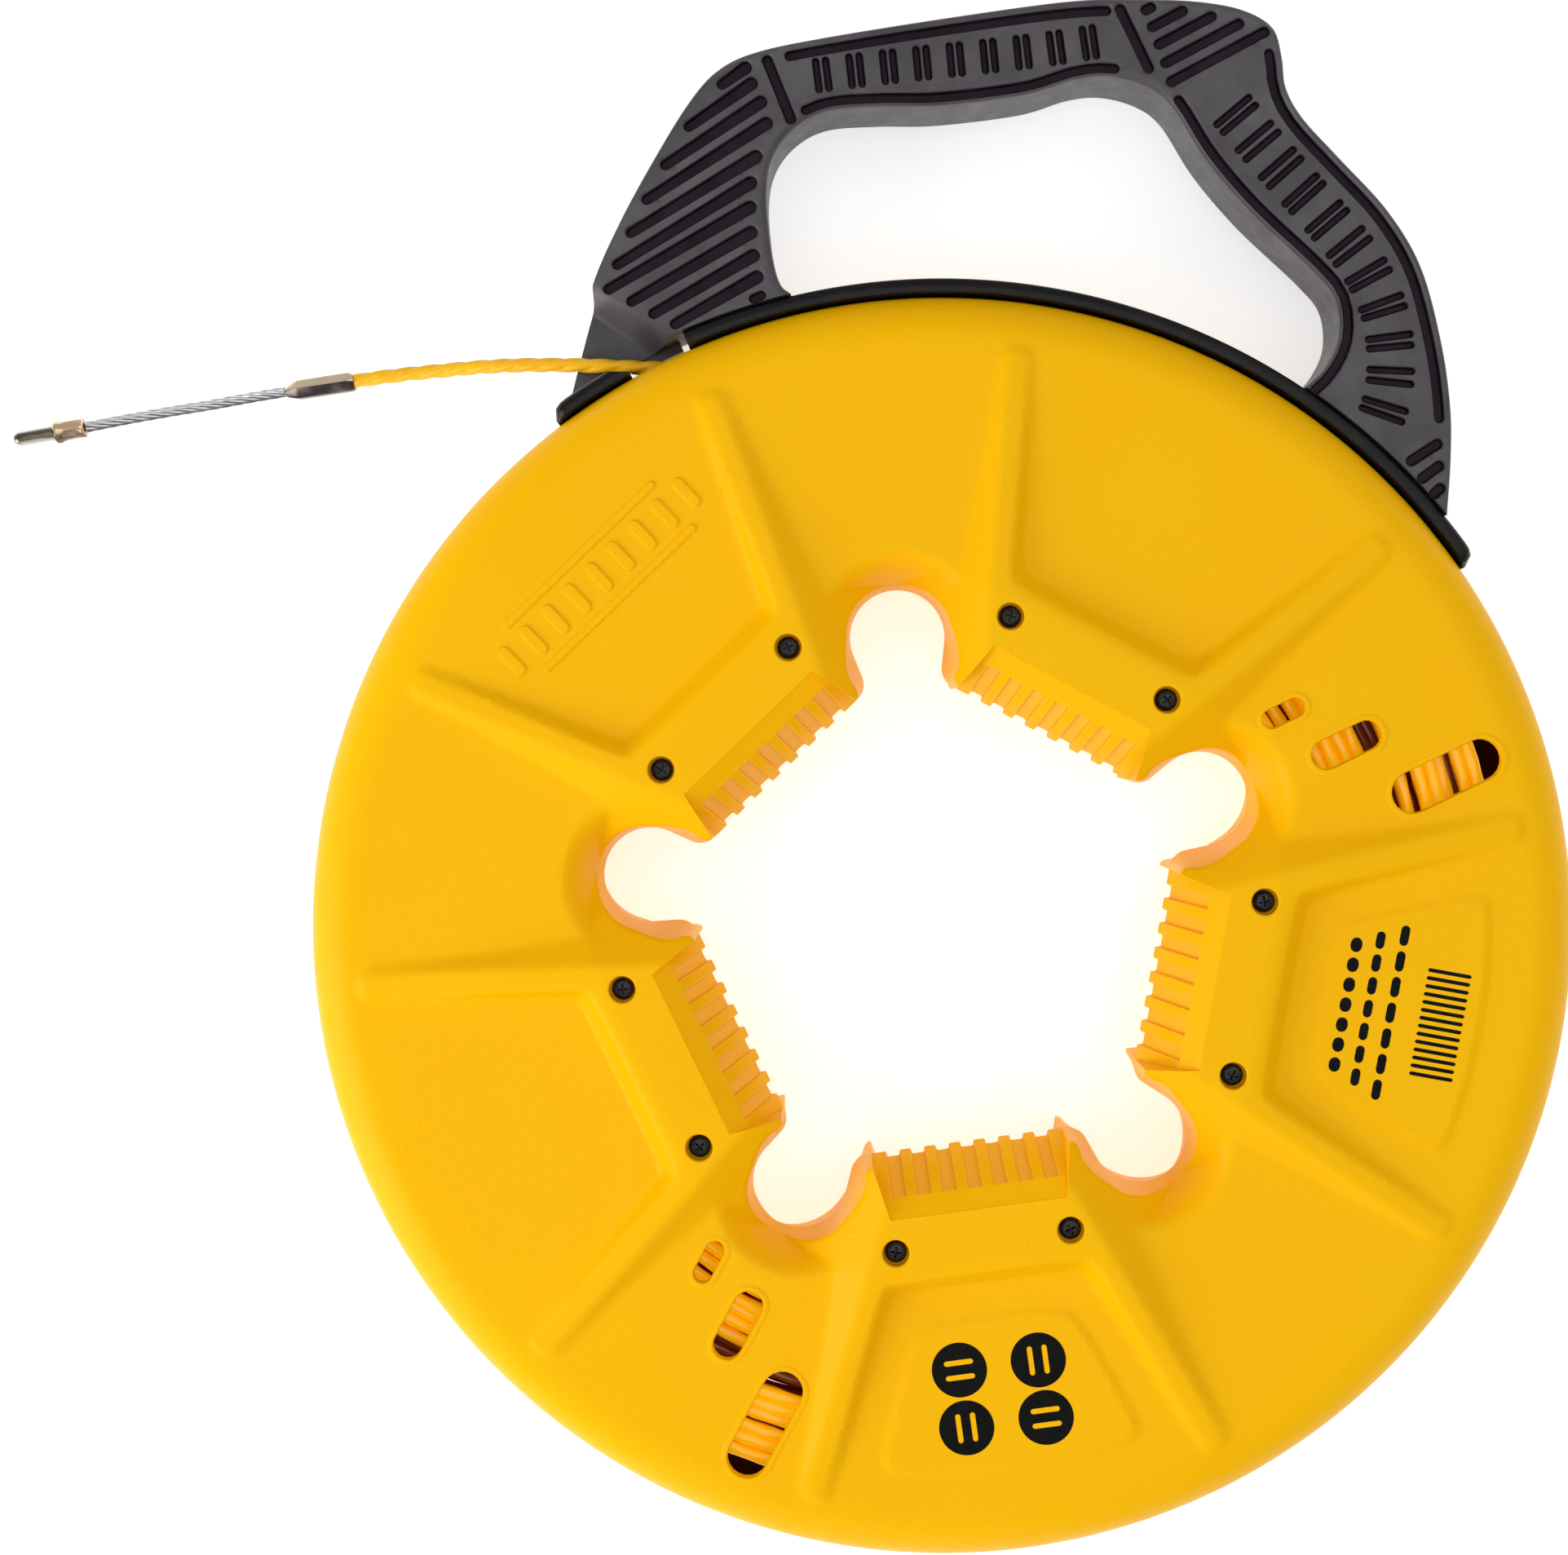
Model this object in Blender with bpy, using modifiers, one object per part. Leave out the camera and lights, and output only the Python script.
"""Fish tape reel: a round case of two moulded shells that turns in a carrying handle.

The reel lies flat on the XY plane, with +Z up and the handle towards +Y. The case turns about a
vertical axis through its centre, and the parting plane of its shells is halfway up.
Shapes are written in the case's own frame, which has its origin on the axis in the parting plane.
"""
import math

import bmesh
import bpy
from mathutils import Matrix, Vector

OBJECT_NAME = "fish_tape_reel"

# Where the case's frame sits: the origin is under the middle of the case and handle together.
HALF_THICKNESS = 0.0300
HANDLE_TOP_Y = 0.2775
CASE_RADIUS = 0.1900
AXIS_POSITION = (0.0, (CASE_RADIUS - HANDLE_TOP_Y) / 2, HALF_THICKNESS)

# Case shells, for one half.
TURN_STEPS = 56
WALL = 0.0025
GAP = 0.0003
FACE_Z = 0.0225
RIM_RADIUS = 0.0155
RIM_SLOT_Z = 0.0050
DRUM_RADIUS = 0.1055
HUB_INNER_RADIUS = 0.0600
CUT_REACH = 0.0020

# Centre hole: five flat grips with five round scallops between them.
SECTORS = 5
SECTOR_DEG = 360 / SECTORS
FIRST_GRIP_DEG = 61.9
FIRST_SCALLOP_DEG = 25.9
GRIP_APOTHEM = 0.0667
CORNER_V = 0.0346
CORNER_RADIUS = 0.0060
SCALLOP_CENTRE = 0.0889
SCALLOP_RADIUS = 0.0144
SCALLOP_FILLET = 0.0085
GRIP_TOP_APOTHEM = 0.0816
GRIP_FACE_HALF_WIDTH = 0.0310
GRIP_FACE_TAPER = 0.0030
GRIP_CUT_DEPTH = 0.0060

# Hollow behind each grip: distances from the axis, half width and top.
POCKET_BASE_U = (0.0705, 0.1010)
POCKET_TOP_U = (0.0840, 0.1010)
POCKET_HALF_WIDTH = 0.0185
POCKET_TOP_Z = 0.0260

# U ridges: a bar across each grip and two legs that run out and down to the rim.
# Each corner is given along (u) and across (v) its sector, mirrored to the other side.
BAR_BASE = ((0.0660, 0.0361), (0.1060, 0.0478))
BAR_TOP = ((0.0660, 0.0227), (0.1000, 0.0368))
LEG_BASE = ((0.0950, 0.0445), (0.1620, 0.0641), (0.1620, 0.0553), (0.0990, 0.0250))
LEG_TOP = ((0.0950, 0.0347), (0.1620, 0.0620), (0.1620, 0.0560), (0.0950, 0.0285))
LEG_NEAR_Z = 0.0298
LEG_FAR_Z = 0.0233
RIDGE_BASE_Z = 0.0180

# Screws: two at each grip.
SCREW_CIRCLE = 0.0953
SCREW_SPREAD_DEG = 15.8
SCREW_SEAT_Z = 0.0258
SCREW_HEAD_RADIUS = 0.0028
SCREW_HEAD_HEIGHT = 0.0022
SCREW_SHANK_RADIUS = 0.00175
SCREW_TIP_Z = -0.0140
RECESS_RADIUS = 0.0040

# Inspection slots: radius, angle from the scallop's centre line, length and width.
SLOTS = ((0.1203, 6.7, 0.0132, 0.0055), (0.1321, -1.1, 0.0219, 0.0086), (0.1563, -8.7, 0.0343, 0.0122))
SLOT_SCALLOPS = ((25.9, 1), (241.9, -1))
SLOT_CUT_DEPTH = 0.0060

# Tape and what is on it.
TAPE_DIAMETER = 0.0045
LEADER_DIAMETER = 0.0033
COIL_INNER_RADIUS = 0.1095
COIL_OUTER_RADIUS = 0.1649
COIL_HALF_HEIGHT = 0.0090
COIL_EDGE_RADIUS = 0.0020
FERRULE_RADIUS = 0.0033
COLLAR_RADIUS = 0.0034
COLLAR_LENGTH = 0.0100
COLLAR_STEP = 0.0006
COLLAR_NECK = 0.0028
PIN_RADIUS = 0.00225
PIN_LENGTH = 0.0130
TAPE_ROUTE = (
    (-0.0200, 0.1680, 0.0), (-0.0500, 0.1690, 0.0), (-0.0836, 0.1702, 0.0), (-0.0950, 0.1707, -0.0004),
    (-0.1075, 0.1715, -0.0018), (-0.1221, 0.1722, -0.0050), (-0.1325, 0.1725, -0.0082),
    (-0.1430, 0.1725, -0.0118), (-0.1537, 0.1721, -0.0152), (-0.1643, 0.1716, -0.0182),
    (-0.1749, 0.1708, -0.0208), (-0.1824, 0.1700, -0.0224),
)
FERRULE_END = (-0.2054, 0.1672, -0.0258)
LEADER_ROUTE = (
    (-0.2057, 0.1672, -0.0259), (-0.2120, 0.1664, -0.0268), (-0.2210, 0.1650, -0.0276),
    (-0.2303, 0.1634, -0.0280), (-0.2432, 0.1614, -0.0282), (-0.2561, 0.1591, -0.0279),
    (-0.2640, 0.1575, -0.0273), (-0.2696, 0.1563, -0.0268),
)
TIP_START = (-0.2699, 0.1562, -0.02655)
TIP_DIRECTION = (-0.985, -0.171, 0.0)

# Tape anchor in the rear shell.
ANCHOR_RADIUS = 0.1140
ANCHOR_DEG = 200.0
BOSS_RADIUS = 0.0045
BOSS_TOP_Z = -0.0150
CLIP_LENGTH = 0.0150
CLIP_WIDTH = 0.0100
CLIP_THICKNESS = 0.0014
ANCHOR_HEAD_RADIUS = 0.0025
ANCHOR_HEAD_HEIGHT = 0.0016
ANCHOR_SHANK_RADIUS = 0.0013
ANCHOR_SHANK_LENGTH = 0.0052

# Handle.
FOOT_START_DEG = 34.6
FOOT_END_DEG = 127.0
FOOT_STEP_DEG = 3.3
SOLE_INNER_RADIUS = 0.1906
SOLE_OUTER_RADIUS = 0.1953
SOLE_HALF_WIDTH = 0.0140
SOLE_EDGE_RADIUS = 0.0020
WEB_HALF_WIDTH = 0.0044
FLANGE_INNER_RADIUS = 0.1815
FLANGE_OUTER_RADIUS = 0.1850
FLANGE_HALF_WIDTH = 0.0090
MOUTH_START_DEG = 113.2
MOUTH_END_DEG = 119.1
MOUTH_CUT_RADII = (0.1870, 0.2050)
MOUTH_LIP_RADIUS = 0.1929
MOUTH_LIP_HEIGHT = 0.0040
MOUTH_LIP_GAP_DEG = 0.6
CHANNEL_LINE = ((-0.1400, 0.1722), (-0.0200, 0.1680))
CHANNEL_CLEARANCE = 0.0011
CUT_TOP_Z = 0.0200
HANDLE_HALF_WIDTH = 0.0140
HANDLE_EDGE_RADIUS = 0.0024
HANDLE_BACK_Z = -0.0052
GRIP_SLIVER = 0.000005
HANDLE_OUTER = (
    (-0.1140, 0.1610), (-0.1106, 0.1726), (-0.1041, 0.1941), (-0.0962, 0.2115), (-0.0860, 0.2300),
    (-0.0758, 0.2466), (-0.0670, 0.2567), (-0.0552, 0.2625), (-0.0325, 0.2671), (0.0085, 0.2733),
    (0.0400, 0.2772), (0.0593, HANDLE_TOP_Y), (0.0762, 0.2768), (0.0900, 0.2742), (0.0990, 0.2688),
    (0.1018, 0.2600), (0.1030, 0.2510), (0.1080, 0.2420), (0.1187, 0.2303), (0.1333, 0.2144),
    (0.1433, 0.1975), (0.1494, 0.1753), (0.1522, 0.1560), (0.1524, 0.1404), (0.1514, 0.1240),
)
HANDLE_OPENING = (
    (-0.0445, 0.1908), (-0.0478, 0.1940), (-0.0502, 0.2035), (-0.0517, 0.2200), (-0.0500, 0.2310),
    (-0.0440, 0.2395), (-0.0340, 0.2450), (-0.0180, 0.2463), (0.0000, 0.2465), (0.0254, 0.2495),
    (0.0400, 0.2538), (0.0502, 0.2548), (0.0610, 0.2520), (0.0690, 0.2460), (0.0791, 0.2302),
    (0.0929, 0.2141), (0.1112, 0.1968), (0.1180, 0.1880), (0.1190, 0.1770), (0.1150, 0.1680),
    (0.1095, 0.1624),
)
MOUTH_STEP = ((-0.1300, 0.2106), (-0.0660, 0.1680))
MOUTH_STEP_DEPTH = 0.0600

YELLOW = (0.90, 0.46, 0.006, 1.0)
TAPE_YELLOW = (0.95, 0.42, 0.01, 1.0)
BLACK = (0.010, 0.009, 0.010, 1.0)
HANDLE_GREY = (0.035, 0.032, 0.036, 1.0)
STEEL = (0.55, 0.55, 0.56, 1.0)
BRONZE = (0.62, 0.52, 0.40, 1.0)


def clear_scene():
    """Remove every object, so that the script gives the same model each run."""
    for old in list(bpy.data.objects):
        bpy.data.objects.remove(old, do_unlink=True)


def new_collection(name):
    collection = bpy.data.collections.new(name)
    bpy.context.scene.collection.children.link(collection)
    return collection


def new_material(name, colour, roughness, metallic=0.0):
    material = bpy.data.materials.new(name)
    material.use_nodes = True
    shader = material.node_tree.nodes["Principled BSDF"]
    shader.inputs["Base Color"].default_value = colour
    shader.inputs["Roughness"].default_value = roughness
    shader.inputs["Metallic"].default_value = metallic
    return material


def add_object(name, mesh, parent, collection):
    """A mesh object that lies in the case's frame."""
    made = bpy.data.objects.new(name, mesh)
    made.parent = parent
    collection.objects.link(made)
    return made


def finish_part(part, material, sharp_deg=35):
    part.data.materials.clear()
    part.data.materials.append(material)
    part.data.shade_smooth()
    part.data.set_sharp_from_angle(angle=math.radians(sharp_deg))
    return part


def polar(radius, degrees, z=0.0):
    angle = math.radians(degrees)
    return Vector((radius * math.cos(angle), radius * math.sin(angle), z))


def in_sector(u, v, z, degrees):
    """A point given by its distance u along a sector's centre line and v to its left."""
    return polar(u, degrees, z) + polar(v, degrees + 90)


def arc_points(centre, radius, start_deg, end_deg, steps):
    """Points (x, y) along an arc, both ends included."""
    points = []
    for step in range(steps + 1):
        angle = math.radians(start_deg + (end_deg - start_deg) * step / steps)
        points.append((centre[0] + radius * math.cos(angle), centre[1] + radius * math.sin(angle)))
    return points


def smooth_line(points, steps):
    """A Catmull-Rom curve through the points, with its ends kept."""
    line = [Vector(point) for point in points]
    padded = [2 * line[0] - line[1]] + line + [2 * line[-1] - line[-2]]
    smooth = []
    for index in range(1, len(padded) - 2):
        before, start, end, after = padded[index - 1:index + 3]
        for step in range(steps):
            t = step / steps
            smooth.append(0.5 * (2 * start + (end - before) * t
                                 + (2 * before - 5 * start + 4 * end - after) * t ** 2
                                 + (3 * start - before - 3 * end + after) * t ** 3))
    smooth.append(line[-1])
    return smooth


def loft_mesh(name, rings):
    """A closed skin over rings of equal count, each ring flat and all in the same order."""
    builder = bmesh.new()
    rows = []
    for ring in rings:
        rows.append([builder.verts.new(point) for point in ring])
    count = len(rows[0])
    for low, high in zip(rows, rows[1:]):
        for index in range(count):
            following = (index + 1) % count
            builder.faces.new((low[index], low[following], high[following], high[index]))
    builder.faces.new(list(reversed(rows[0])))
    builder.faces.new(rows[-1])
    bmesh.ops.recalc_face_normals(builder, faces=builder.faces)
    mesh = bpy.data.meshes.new(name)
    builder.to_mesh(mesh)
    builder.free()
    return mesh


def evaluated_mesh(source):
    """The mesh of an object with its modifiers or bevel applied and its caps welded."""
    graph = bpy.context.evaluated_depsgraph_get()
    mesh = bpy.data.meshes.new_from_object(source.evaluated_get(graph))
    builder = bmesh.new()
    builder.from_mesh(mesh)
    bmesh.ops.remove_doubles(builder, verts=builder.verts, dist=1e-6)
    builder.to_mesh(mesh)
    builder.free()
    return mesh


def turned_mesh(name, profile, steps, collection):
    """A (radius, z) profile turned about Z, closed on itself or between two points of the axis.

    It runs down its outer side.
    """
    mesh = bpy.data.meshes.new(name)
    count = len(profile)
    edges = [(index, index + 1) for index in range(count - 1)]
    if profile[0][0] > GAP:
        edges.append((count - 1, 0))
    mesh.from_pydata([(radius, 0, z) for radius, z in profile], edges, [])
    source = bpy.data.objects.new(name, mesh)
    collection.objects.link(source)
    screw = source.modifiers.new("Turn", "SCREW")
    screw.steps = steps
    screw.render_steps = steps
    screw.use_merge_vertices = True
    screw.merge_threshold = 0.00001
    turned = evaluated_mesh(source)
    bpy.data.objects.remove(source)
    return turned


def cylinder_mesh(name, radius, low, high, segments, at=(0, 0)):
    builder = bmesh.new()
    middle = Matrix.Translation((at[0], at[1], (low + high) / 2))
    bmesh.ops.create_cone(builder, cap_ends=True, segments=segments, radius1=radius, radius2=radius,
                          depth=high - low, matrix=middle)
    mesh = bpy.data.meshes.new(name)
    builder.to_mesh(mesh)
    builder.free()
    return mesh


def joined_mesh(name, meshes):
    """Several closed meshes as one, for a cutter of many separate bodies."""
    builder = bmesh.new()
    for mesh in meshes:
        builder.from_mesh(mesh)
    joined = bpy.data.meshes.new(name)
    builder.to_mesh(joined)
    builder.free()
    return joined


def apply_boolean(mesh, tool_mesh, operation, cutters):
    """The mesh after a Boolean with a tool, made through two short-lived objects."""
    subject = bpy.data.objects.new("subject", mesh)
    tool = bpy.data.objects.new("tool", tool_mesh)
    cutters.objects.link(subject)
    cutters.objects.link(tool)
    step = subject.modifiers.new("Boolean", "BOOLEAN")
    step.operation = operation
    step.object = tool
    result = evaluated_mesh(subject)
    bpy.data.objects.remove(subject)
    bpy.data.objects.remove(tool)
    return result


def merged_flats(mesh, sliver=0.00005):
    """The mesh with the seams and slivers that Booleans leave in its flat faces dissolved."""
    builder = bmesh.new()
    builder.from_mesh(mesh)
    bmesh.ops.remove_doubles(builder, verts=builder.verts, dist=sliver)
    bmesh.ops.dissolve_degenerate(builder, edges=builder.edges, dist=sliver)
    bmesh.ops.dissolve_limit(builder, angle_limit=math.radians(0.3), verts=builder.verts,
                             edges=builder.edges)
    bmesh.ops.triangulate(builder, faces=builder.faces)
    bmesh.ops.recalc_face_normals(builder, faces=builder.faces)
    builder.to_mesh(mesh)
    builder.free()
    return mesh


def shell_profile():
    """Half case in (radius, z): the face, the rounded rim, the cavity and the solid hub."""
    rim_centre = (CASE_RADIUS - RIM_RADIUS, FACE_Z - RIM_RADIUS)
    outer_rim = arc_points(rim_centre, RIM_RADIUS, 90, 0, 4)
    inner_rim = arc_points(rim_centre, RIM_RADIUS - WALL, 0, 90, 3)
    profile = [(HUB_INNER_RADIUS, FACE_Z)] + outer_rim
    profile += [(CASE_RADIUS, RIM_SLOT_Z), (CASE_RADIUS - WALL, RIM_SLOT_Z)] + inner_rim
    profile += [(DRUM_RADIUS, FACE_Z - WALL), (DRUM_RADIUS, GAP / 2), (HUB_INNER_RADIUS, GAP / 2)]
    return profile


def hole_outline():
    """The centre hole's edge as (x, y) points, one sector after another.

    Each half sector is a flat, a rounded corner, a straight run that touches the scallop's circle,
    and that circle as far as the scallop's centre line.
    """
    half = SECTOR_DEG / 2
    scallop = Vector((SCALLOP_CENTRE * math.cos(math.radians(half)),
                      SCALLOP_CENTRE * math.sin(math.radians(half))))
    corner = Vector((GRIP_APOTHEM, CORNER_V))
    reach = scallop - corner
    slope = math.atan2(reach.x, reach.y) + math.asin(SCALLOP_RADIUS / reach.length)
    trim = CORNER_RADIUS * math.tan(slope / 2)
    fillet = (GRIP_APOTHEM + CORNER_RADIUS, CORNER_V - trim)
    turned = math.degrees(slope)
    rounded = arc_points(fillet, CORNER_RADIUS, 180, 180 - turned, 2)
    scallop_arc = arc_points(scallop, SCALLOP_RADIUS, -turned, half, 5)
    half_sector = rounded + scallop_arc
    outline = []
    for sector in range(SECTORS):
        degrees = FIRST_GRIP_DEG + sector * SECTOR_DEG
        right = [in_sector(u, -v, 0, degrees) for u, v in reversed(half_sector)]
        left = [in_sector(u, v, 0, degrees) for u, v in half_sector[:-1]]
        outline += right + left
    return outline


def at_height(points, z):
    return [Vector((point[0], point[1], z)) for point in points]


def box_mesh(name, corners, low, high):
    """An upright block over an outline."""
    return loft_mesh(name, [at_height(corners, low), at_height(corners, high)])


def wedge_mesh(name, base, top, degrees, base_z, top_z):
    """A block between two four-sided (u, v) outlines of a sector; top_z has one height a corner."""
    low = [in_sector(u, v, base_z, degrees) for u, v in base]
    high = [in_sector(u, v, z, degrees) for (u, v), z in zip(top, top_z)]
    return loft_mesh(name, [low, high])


def both_sides(corners):
    """A four-sided outline from its inner and outer corner on one side of a sector."""
    (near_u, near_v), (far_u, far_v) = corners
    return ((near_u, -near_v), (near_u, near_v), (far_u, far_v), (far_u, -far_v))


def ridge_meshes(degrees):
    """The bar across a grip and the two legs of its U ridge, as three overlapping blocks."""
    heights = (HALF_THICKNESS,) * 4
    blocks = [wedge_mesh("bar", both_sides(BAR_BASE), both_sides(BAR_TOP), degrees, RIDGE_BASE_Z, heights)]
    heights = (LEG_NEAR_Z, LEG_FAR_Z, LEG_FAR_Z, LEG_NEAR_Z)
    for side in (1, -1):
        base = [(u, v * side) for u, v in LEG_BASE]
        top = [(u, v * side) for u, v in LEG_TOP]
        blocks.append(wedge_mesh("leg", base, top, degrees, RIDGE_BASE_Z, heights))
    return blocks


def scallop_cones():
    """Cones that bevel the face where it meets each scallop."""
    cones = []
    low = FACE_Z - SCALLOP_FILLET
    high = FACE_Z + 0.001
    for sector in range(SECTORS):
        centre = polar(SCALLOP_CENTRE, FIRST_SCALLOP_DEG + sector * SECTOR_DEG)
        builder = bmesh.new()
        middle = Matrix.Translation((centre.x, centre.y, (low + high) / 2))
        bmesh.ops.create_cone(builder, cap_ends=True, segments=16, radius1=SCALLOP_RADIUS,
                              radius2=SCALLOP_RADIUS + SCALLOP_FILLET, depth=high - low, matrix=middle)
        mesh = bpy.data.meshes.new("cone")
        builder.to_mesh(mesh)
        builder.free()
        cones.append(mesh)
    return cones


def slot_meshes():
    """The inspection slots: round-ended prisms along each slotted scallop's centre line."""
    slots = []
    for centre_deg, side in SLOT_SCALLOPS:
        for radius, offset_deg, length, width in SLOTS:
            middle = polar(radius, centre_deg + offset_deg * side)
            straight = (length - width) / 2
            ends = arc_points((straight, 0), width / 2, -90, 90, 4)
            ends += arc_points((-straight, 0), width / 2, 90, 270, 4)
            outline = [middle + in_sector(u, v, 0, centre_deg) for u, v in ends]
            slots.append(loft_mesh("slot", [at_height(outline, FACE_Z - SLOT_CUT_DEPTH),
                                            at_height(outline, HALF_THICKNESS + CUT_REACH)]))
    return slots


def screw_places():
    places = []
    for sector in range(SECTORS):
        for side in (-1, 1):
            degrees = FIRST_GRIP_DEG + sector * SECTOR_DEG + side * SCREW_SPREAD_DEG
            places.append(polar(SCREW_CIRCLE, degrees))
    return places


def grip_cutters():
    """Blocks that slope each grip's face back from the parting plane to the ridge's top."""
    faces = []
    reach = HALF_THICKNESS + CUT_REACH
    slope = (GRIP_TOP_APOTHEM - GRIP_APOTHEM) / HALF_THICKNESS
    width = GRIP_FACE_HALF_WIDTH
    near = GRIP_APOTHEM - GRIP_CUT_DEPTH
    for sector in range(SECTORS):
        degrees = FIRST_GRIP_DEG + sector * SECTOR_DEG
        base = both_sides(((near, width), (GRIP_APOTHEM, width)))
        top = both_sides(((near, width), (GRIP_APOTHEM + slope * reach, width - GRIP_FACE_TAPER)))
        faces.append(wedge_mesh("grip_face", base, top, degrees, 0.0, (reach,) * 4))
    return faces


def pocket_meshes():
    """Hollows behind the grips, open towards the parting plane and clear of the screw bosses."""
    pockets = []
    for sector in range(SECTORS):
        degrees = FIRST_GRIP_DEG + sector * SECTOR_DEG
        base = both_sides([(u, POCKET_HALF_WIDTH) for u in POCKET_BASE_U])
        top = both_sides([(u, POCKET_HALF_WIDTH) for u in POCKET_TOP_U])
        pockets.append(wedge_mesh("pocket", base, top, degrees, -CUT_REACH / 2, (POCKET_TOP_Z,) * 4))
    return pockets


def screw_holes(is_front, collection):
    """Stepped recess and clearance hole in the front shell, blind hole in the rear one."""
    shank = SCREW_SHANK_RADIUS + GAP
    holes = []
    if is_front:
        high = HALF_THICKNESS + CUT_REACH
        profile = ((0.0, high), (RECESS_RADIUS, high), (RECESS_RADIUS, SCREW_SEAT_Z),
                   (shank, SCREW_SEAT_Z), (shank, -CUT_REACH), (0.0, -CUT_REACH))
        stepped = turned_mesh("recess", profile, 10, collection)
        for place in screw_places():
            hole = stepped.copy()
            hole.transform(Matrix.Translation(place))
            holes.append(hole)
    else:
        for place in screw_places():
            holes.append(cylinder_mesh("pilot", shank, -CUT_REACH, CUT_REACH - SCREW_TIP_Z, 8, place))
    return holes


def shell_mesh(is_front, cutters):
    """One half of the case with its face up; the rear half is turned over afterwards."""
    mesh = turned_mesh("shell", shell_profile(), TURN_STEPS, cutters)
    mesh = apply_boolean(mesh, joined_mesh("cones", scallop_cones()), "DIFFERENCE", cutters)
    for sector in range(SECTORS):
        for block in ridge_meshes(FIRST_GRIP_DEG + sector * SECTOR_DEG):
            mesh = apply_boolean(mesh, block, "UNION", cutters)
    outline = hole_outline()
    hole = box_mesh("hole", outline, -CUT_REACH, HALF_THICKNESS + CUT_REACH)
    tools = [hole] + slot_meshes() + pocket_meshes() + screw_holes(is_front, cutters)
    mesh = apply_boolean(mesh, joined_mesh("tools", tools), "DIFFERENCE", cutters)
    mesh = apply_boolean(mesh, joined_mesh("grips", grip_cutters()), "DIFFERENCE", cutters)
    return merged_flats(mesh)


def make_front_shell(parent, parts, cutters, material):
    front = add_object("front_shell", shell_mesh(True, cutters), parent, parts)
    return finish_part(front, material)


def anchor_place():
    return polar(ANCHOR_RADIUS, ANCHOR_DEG)


def make_rear_shell(parent, parts, cutters, material):
    """The rear half, with the boss that the tape's inner end is clamped to."""
    mesh = shell_mesh(False, cutters)
    mesh.transform(Matrix.Scale(-1, 4, (0, 0, 1)))
    mesh.flip_normals()
    place = anchor_place()
    floor = -(FACE_Z - WALL)
    boss = cylinder_mesh("boss", BOSS_RADIUS, floor - WALL / 2, BOSS_TOP_Z, 16, place)
    mesh = apply_boolean(mesh, boss, "UNION", cutters)
    shank = ANCHOR_SHANK_RADIUS + GAP
    pilot = cylinder_mesh("pilot", shank, floor - WALL / 4, BOSS_TOP_Z + CUT_REACH, 12, place)
    mesh = merged_flats(apply_boolean(mesh, pilot, "DIFFERENCE", cutters))
    rear = add_object("rear_shell", mesh, parent, parts)
    return finish_part(rear, material)


def screw_mesh(head_radius, head_height, shank_radius, shank_length, cutters):
    """A pan-head screw with a cross recess; its seat is at z = 0."""
    profile = [(0.0, head_height), (head_radius * 0.7, head_height * 0.86),
               (head_radius, head_height * 0.4), (head_radius, 0.0), (shank_radius, 0.0),
               (shank_radius, -shank_length * 0.92), (0.0, -shank_length)]
    mesh = turned_mesh("screw", profile, 10, cutters)
    arm = head_radius * 0.58
    blade = head_radius * 0.13
    for long_x, long_y in ((arm, blade), (blade, arm)):
        corners = [(-long_x, -long_y), (long_x, -long_y), (long_x, long_y), (-long_x, long_y)]
        inner = [(x * 0.6, y * 0.8) for x, y in corners]
        slot = loft_mesh("cross", [at_height(inner, head_height * 0.3),
                                   at_height(corners, head_height * 1.2)])
        mesh = apply_boolean(mesh, slot, "DIFFERENCE", cutters)
    return mesh


def make_case_screws(parent, parts, cutters, material):
    length = SCREW_SEAT_Z - SCREW_TIP_Z
    mesh = screw_mesh(SCREW_HEAD_RADIUS, SCREW_HEAD_HEIGHT, SCREW_SHANK_RADIUS, length, cutters)
    for index, place in enumerate(screw_places()):
        screw = add_object(f"case_screw_{index + 1:02d}", mesh, parent, parts)
        screw.location = (place.x, place.y, SCREW_SEAT_Z + GAP)
        screw.rotation_euler = (0, 0, math.radians(index * 37))
        finish_part(screw, material)


def make_anchor(parent, parts, cutters, clip_material, screw_material):
    """The plate over the tape's inner end, on its boss, and the screw that holds it."""
    place = anchor_place()
    low = BOSS_TOP_Z + GAP
    half_x = CLIP_LENGTH / 2
    half_y = CLIP_WIDTH / 2
    outline = arc_points((half_x - half_y, 0), half_y, -90, 90, 5)
    outline += arc_points((half_y - half_x, 0), half_y, 90, 270, 5)
    high = low + CLIP_THICKNESS
    mesh = box_mesh("clip", outline, low, high)
    hole = cylinder_mesh("hole", ANCHOR_SHANK_RADIUS + GAP, low - CUT_REACH, high + CUT_REACH, 12)
    mesh = apply_boolean(mesh, hole, "DIFFERENCE", cutters)
    clip = add_object("tape_anchor_clip", mesh, parent, parts)
    clip.location = place
    clip.rotation_euler = (0, 0, math.radians(ANCHOR_DEG + 90))
    finish_part(clip, clip_material)
    mesh = screw_mesh(ANCHOR_HEAD_RADIUS, ANCHOR_HEAD_HEIGHT, ANCHOR_SHANK_RADIUS,
                      ANCHOR_SHANK_LENGTH, cutters)
    screw = add_object("anchor_screw", mesh, parent, parts)
    screw.location = (place.x, place.y, high + GAP)
    finish_part(screw, screw_material)


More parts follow.
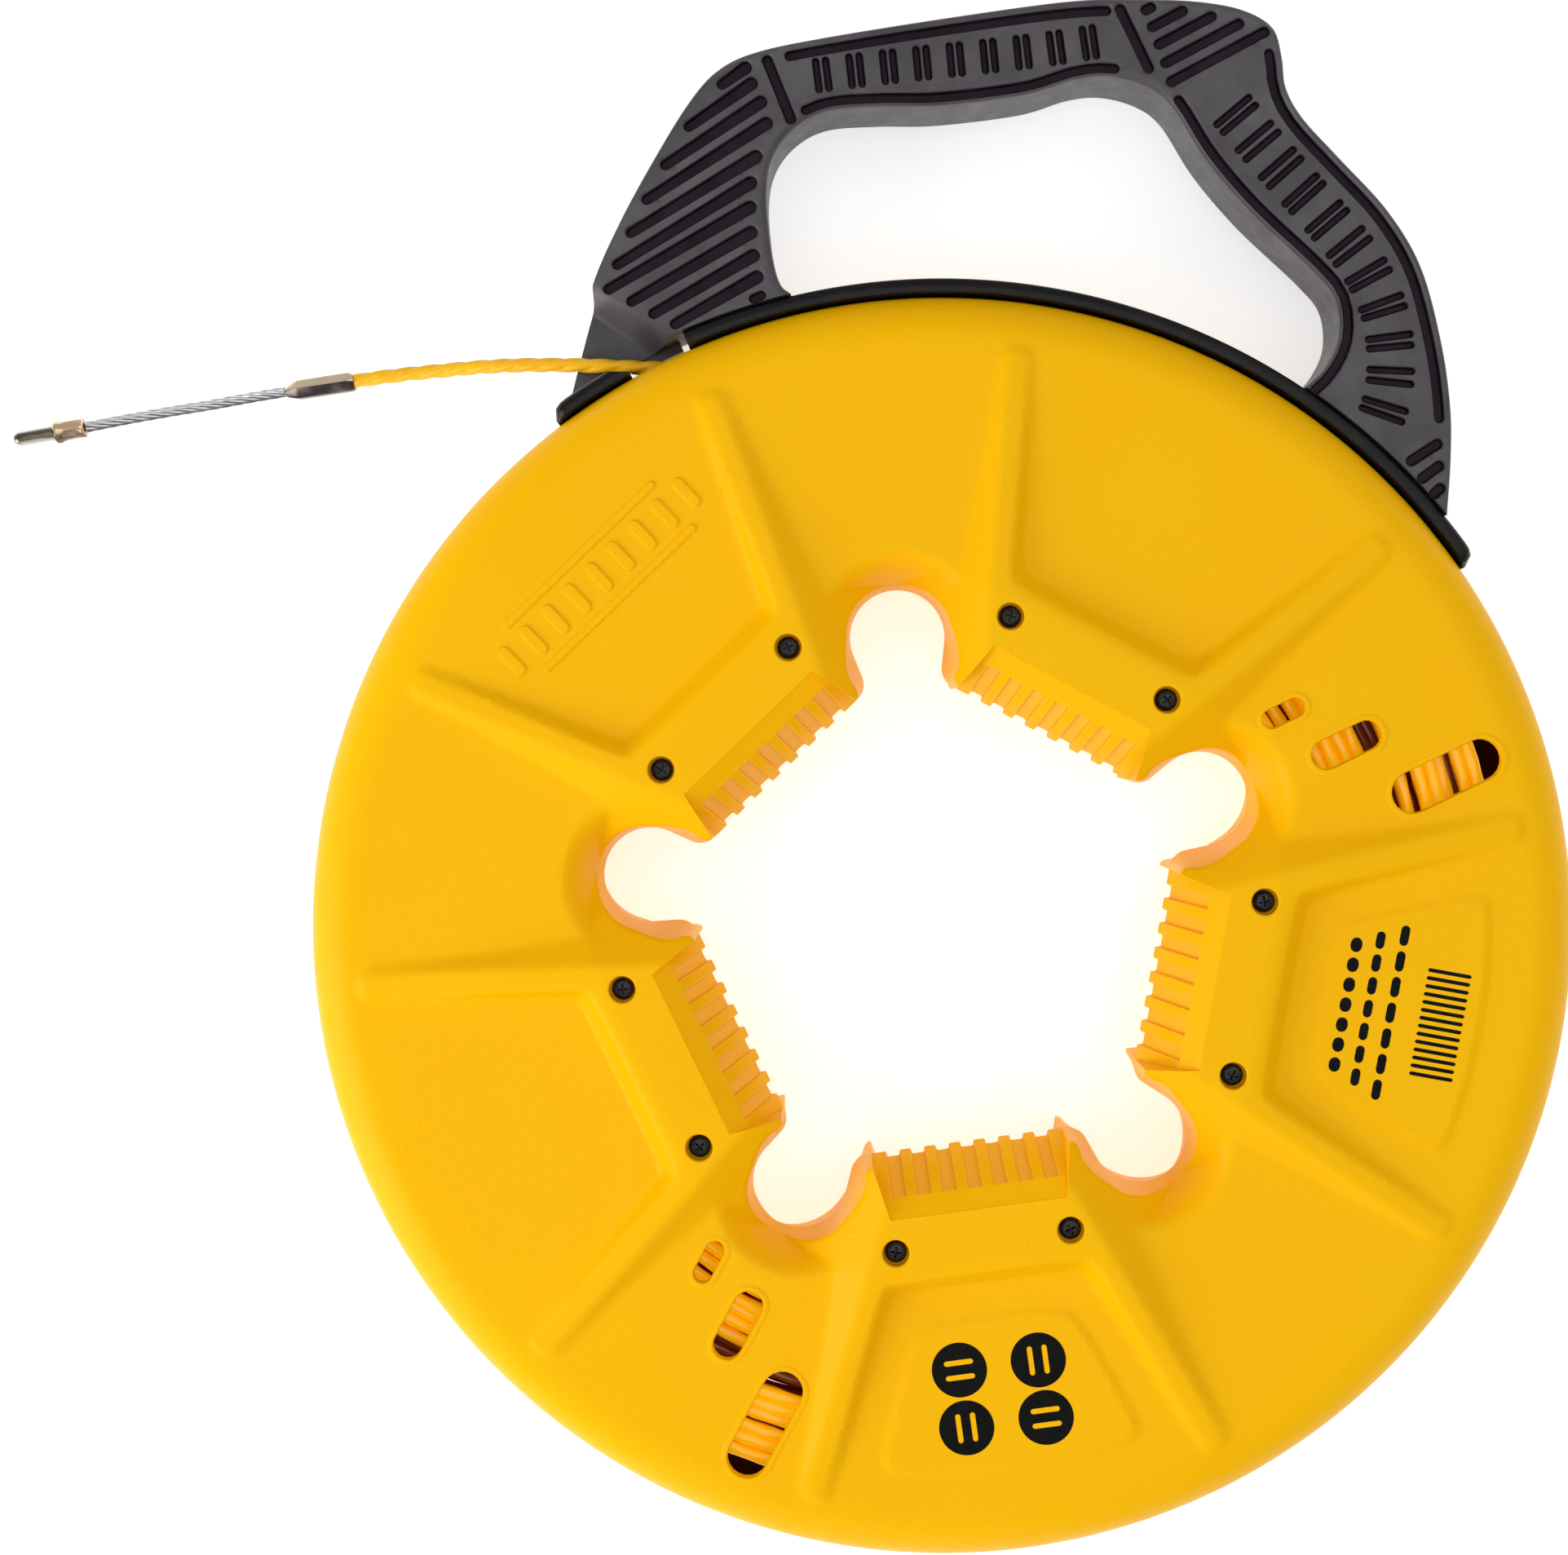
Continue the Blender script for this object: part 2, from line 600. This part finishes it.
def make_tape_coil(parent, parts, cutters, material):
    """The space that the wound turns fill, as one turned ring with rounded edges."""
    edge = COIL_EDGE_RADIUS
    high = COIL_HALF_HEIGHT
    profile = arc_points((COIL_OUTER_RADIUS - edge, high - edge), edge, 90, 0, 1)
    profile += arc_points((COIL_OUTER_RADIUS - edge, edge - high), edge, 0, -90, 1)
    profile += arc_points((COIL_INNER_RADIUS + edge, edge - high), edge, -90, -180, 1)
    profile += arc_points((COIL_INNER_RADIUS + edge, high - edge), edge, 180, 90, 1)
    coil = add_object("tape_coil", turned_mesh("coil", profile, 48, cutters), parent, parts)
    return finish_part(coil, material)


def swept_ring(profile, degrees):
    return [polar(radius, degrees, z) for radius, z in profile]


def foot_profile():
    """Section of the foot: rounded sole, web through the rim slot, and inner flange."""
    corner = (SOLE_OUTER_RADIUS - SOLE_EDGE_RADIUS, SOLE_HALF_WIDTH - SOLE_EDGE_RADIUS)
    sole = arc_points(corner, SOLE_EDGE_RADIUS, 90, 0, 2)
    upper = [(SOLE_INNER_RADIUS, SOLE_HALF_WIDTH)] + sole
    lower = [(radius, -z) for radius, z in reversed(upper)]
    upper_web = [(FLANGE_INNER_RADIUS, FLANGE_HALF_WIDTH), (FLANGE_OUTER_RADIUS, FLANGE_HALF_WIDTH),
                 (FLANGE_OUTER_RADIUS, WEB_HALF_WIDTH), (SOLE_INNER_RADIUS, WEB_HALF_WIDTH)]
    lower_web = [(radius, -z) for radius, z in reversed(upper_web)]
    return upper_web + upper + lower + lower_web


def make_handle_foot(parent, parts, cutters, material):
    """The arc that runs in the case's rim slot, open where the tape comes out."""
    steps = round((FOOT_END_DEG - FOOT_START_DEG) / FOOT_STEP_DEG)
    rings = []
    for step in range(steps + 1):
        degrees = FOOT_START_DEG + (FOOT_END_DEG - FOOT_START_DEG) * step / steps
        rings.append(swept_ring(foot_profile(), degrees))
    mesh = loft_mesh("foot", rings)
    half = TAPE_DIAMETER / 2 + CHANNEL_CLEARANCE
    (left_x, left_y), (right_x, right_y) = CHANNEL_LINE
    channel = [(left_x, left_y - half), (right_x, right_y - half), (right_x, right_y + half),
               (left_x, left_y + half)]
    mesh = apply_boolean(mesh, box_mesh("channel", channel, -half, CUT_TOP_Z), "DIFFERENCE", cutters)
    near, far = MOUTH_CUT_RADII
    mouth = [polar(near, MOUTH_START_DEG), polar(far, MOUTH_START_DEG),
             polar(far, MOUTH_END_DEG), polar(near, MOUTH_END_DEG)]
    mesh = apply_boolean(mesh, box_mesh("mouth", mouth, -CUT_TOP_Z, CUT_TOP_Z), "DIFFERENCE", cutters)
    foot = add_object("handle_foot", merged_flats(mesh), parent, parts)
    return finish_part(foot, material)


def flat_line(points, steps):
    """A smooth line through (x, y) points, without heights."""
    return [(point.x, point.y) for point in smooth_line([(x, y, 0) for x, y in points], steps)]


def degrees_of(point):
    return math.degrees(math.atan2(point[1], point[0]))


def grip_outline():
    """The handle's arch: its outside, its right foot, the finger opening and its left foot."""
    seat = SOLE_OUTER_RADIUS + GAP
    outside = flat_line(HANDLE_OUTER, 2)
    inside = flat_line(reversed(HANDLE_OPENING), 2)
    right = arc_points((0, 0), seat, degrees_of(outside[-1]), degrees_of(inside[0]), 6)
    left = arc_points((0, 0), seat, degrees_of(inside[-1]), degrees_of(outside[0]), 8)
    return outside + right[1:-1] + inside + left[1:-1]


def make_handle_grip(parent, parts, cutters, material):
    """The carrying arch, thick and round-edged, cut back to a rear wall where the tape comes out."""
    curve = bpy.data.curves.new("loop", "CURVE")
    curve.dimensions = "2D"
    curve.fill_mode = "BOTH"
    curve.extrude = HANDLE_HALF_WIDTH - HANDLE_EDGE_RADIUS
    curve.bevel_depth = HANDLE_EDGE_RADIUS
    curve.bevel_resolution = 1
    curve.offset = -HANDLE_EDGE_RADIUS
    outline = grip_outline()
    spline = curve.splines.new("POLY")
    spline.points.add(len(outline) - 1)
    for point, (x, y) in zip(spline.points, outline):
        point.co = (x, y, 0, 1)
    spline.use_cyclic_u = True
    source = bpy.data.objects.new("loop", curve)
    cutters.objects.link(source)
    mesh = evaluated_mesh(source)
    bpy.data.objects.remove(source)
    (left_x, left_y), (right_x, right_y) = MOUTH_STEP
    low_y = left_y - MOUTH_STEP_DEPTH
    recess = [(left_x, low_y), (right_x, low_y), (right_x, right_y), (left_x, left_y)]
    mesh = apply_boolean(mesh, box_mesh("recess", recess, HANDLE_BACK_Z, CUT_TOP_Z), "DIFFERENCE", cutters)
    start = MOUTH_START_DEG + MOUTH_LIP_GAP_DEG
    end = MOUTH_END_DEG - MOUTH_LIP_GAP_DEG
    lip_outline = arc_points((0, 0), MOUTH_LIP_RADIUS, start, end, 3)
    lip_outline += arc_points((0, 0), SOLE_OUTER_RADIUS + MOUTH_LIP_HEIGHT, end, start, 3)
    lip = box_mesh("lip", lip_outline, HANDLE_EDGE_RADIUS - HANDLE_HALF_WIDTH, HANDLE_BACK_Z - 0.001)
    mesh = apply_boolean(mesh, lip, "UNION", cutters)
    grip = add_object("handle_grip", merged_flats(mesh, GRIP_SLIVER), parent, parts)
    return finish_part(grip, material)


def tube_mesh(name, route, diameter, steps, collection):
    """A round tube with filled ends along a smooth line through the route."""
    curve = bpy.data.curves.new(name, "CURVE")
    curve.dimensions = "3D"
    curve.bevel_depth = diameter / 2
    curve.bevel_resolution = 2
    curve.use_fill_caps = True
    line = smooth_line(route, steps)
    spline = curve.splines.new("POLY")
    spline.points.add(len(line) - 1)
    for point, place in zip(spline.points, line):
        point.co = (*place, 1)
    source = bpy.data.objects.new(name, curve)
    collection.objects.link(source)
    mesh = evaluated_mesh(source)
    bpy.data.objects.remove(source)
    return mesh


def along_x(mesh, start, direction):
    """Turn a mesh made about Z so that its +Z runs along a direction from a start point."""
    turn = Vector(direction).to_track_quat("Z", "Y").to_matrix().to_4x4()
    mesh.transform(Matrix.Translation(start) @ turn)
    return mesh


def make_ferrule(parent, parts, material):
    """A hexagonal crimp with chamfered ends between the tape and the leader."""
    start = Vector(TAPE_ROUTE[-1])
    run = Vector(FERRULE_END) - start
    length = run.length - 2 * GAP
    rings = []
    for along, scale in ((0.0, 0.86), (0.0008, 1.0), (length - 0.0014, 1.0), (length, 0.78)):
        radius = FERRULE_RADIUS * scale
        rings.append([Vector((x, y, along)) for x, y in arc_points((0, 0), radius, 0, 300, 5)])
    mesh = loft_mesh("ferrule", rings)
    along_x(mesh, start + run.normalized() * GAP, run)
    return finish_part(add_object("crimp_ferrule", mesh, parent, parts), material)


def make_tip(parent, parts, cutters, collar_material, pin_material):
    """The crimp collar on the leader and the round-nosed pin in front of it."""
    start = Vector(TIP_START)
    direction = Vector(TIP_DIRECTION).normalized()
    narrow = COLLAR_RADIUS - COLLAR_STEP
    collar = [(0.0, COLLAR_LENGTH), (narrow, COLLAR_LENGTH),
              (COLLAR_RADIUS, COLLAR_LENGTH - COLLAR_STEP), (COLLAR_RADIUS, COLLAR_NECK + COLLAR_STEP),
              (narrow, COLLAR_NECK), (narrow, 0.0), (0.0, 0.0)]
    mesh = along_x(turned_mesh("collar", collar, 18, cutters), start, direction)
    finish_part(add_object("tip_collar", mesh, parent, parts), collar_material)
    nose = arc_points((0.0, PIN_LENGTH - PIN_RADIUS), PIN_RADIUS, 90, 0, 4)
    nose[0] = (0.0, PIN_LENGTH)
    mesh = turned_mesh("pin", nose + [(PIN_RADIUS, 0.0), (0.0, 0.0)], 18, cutters)
    along_x(mesh, start + direction * (COLLAR_LENGTH + GAP), direction)
    finish_part(add_object("tip_pin", mesh, parent, parts), pin_material)


def build():
    clear_scene()
    parts = new_collection(OBJECT_NAME)
    cutters = new_collection("cutters")
    case = bpy.data.objects.new("case_frame", None)
    handle = bpy.data.objects.new("handle_frame", None)
    for frame in (case, handle):
        frame.location = AXIS_POSITION
        parts.objects.link(frame)

    yellow = new_material("case_plastic", YELLOW, 0.42)
    tape_plastic = new_material("tape_polymer", TAPE_YELLOW, 0.38)
    black = new_material("black_plastic", BLACK, 0.30)
    grey = new_material("handle_plastic", HANDLE_GREY, 0.45)
    screw_black = new_material("black_oxide_steel", BLACK, 0.35, 0.8)
    steel = new_material("steel", STEEL, 0.28, 1.0)
    bronze = new_material("plated_brass", BRONZE, 0.25, 1.0)

    make_front_shell(case, parts, cutters, yellow)
    make_rear_shell(case, parts, cutters, yellow)
    make_case_screws(case, parts, cutters, screw_black)
    make_tape_coil(case, parts, cutters, tape_plastic)
    make_anchor(case, parts, cutters, steel, steel)
    make_handle_foot(handle, parts, cutters, black)
    make_handle_grip(handle, parts, cutters, grey)
    tape = tube_mesh("tape", TAPE_ROUTE, TAPE_DIAMETER, 2, cutters)
    finish_part(add_object("tape_free_end", tape, handle, parts), tape_plastic)
    make_ferrule(handle, parts, bronze)
    leader = tube_mesh("leader", LEADER_ROUTE, LEADER_DIAMETER, 2, cutters)
    finish_part(add_object("leader_cable", leader, handle, parts), steel)
    make_tip(handle, parts, cutters, bronze, steel)


build()
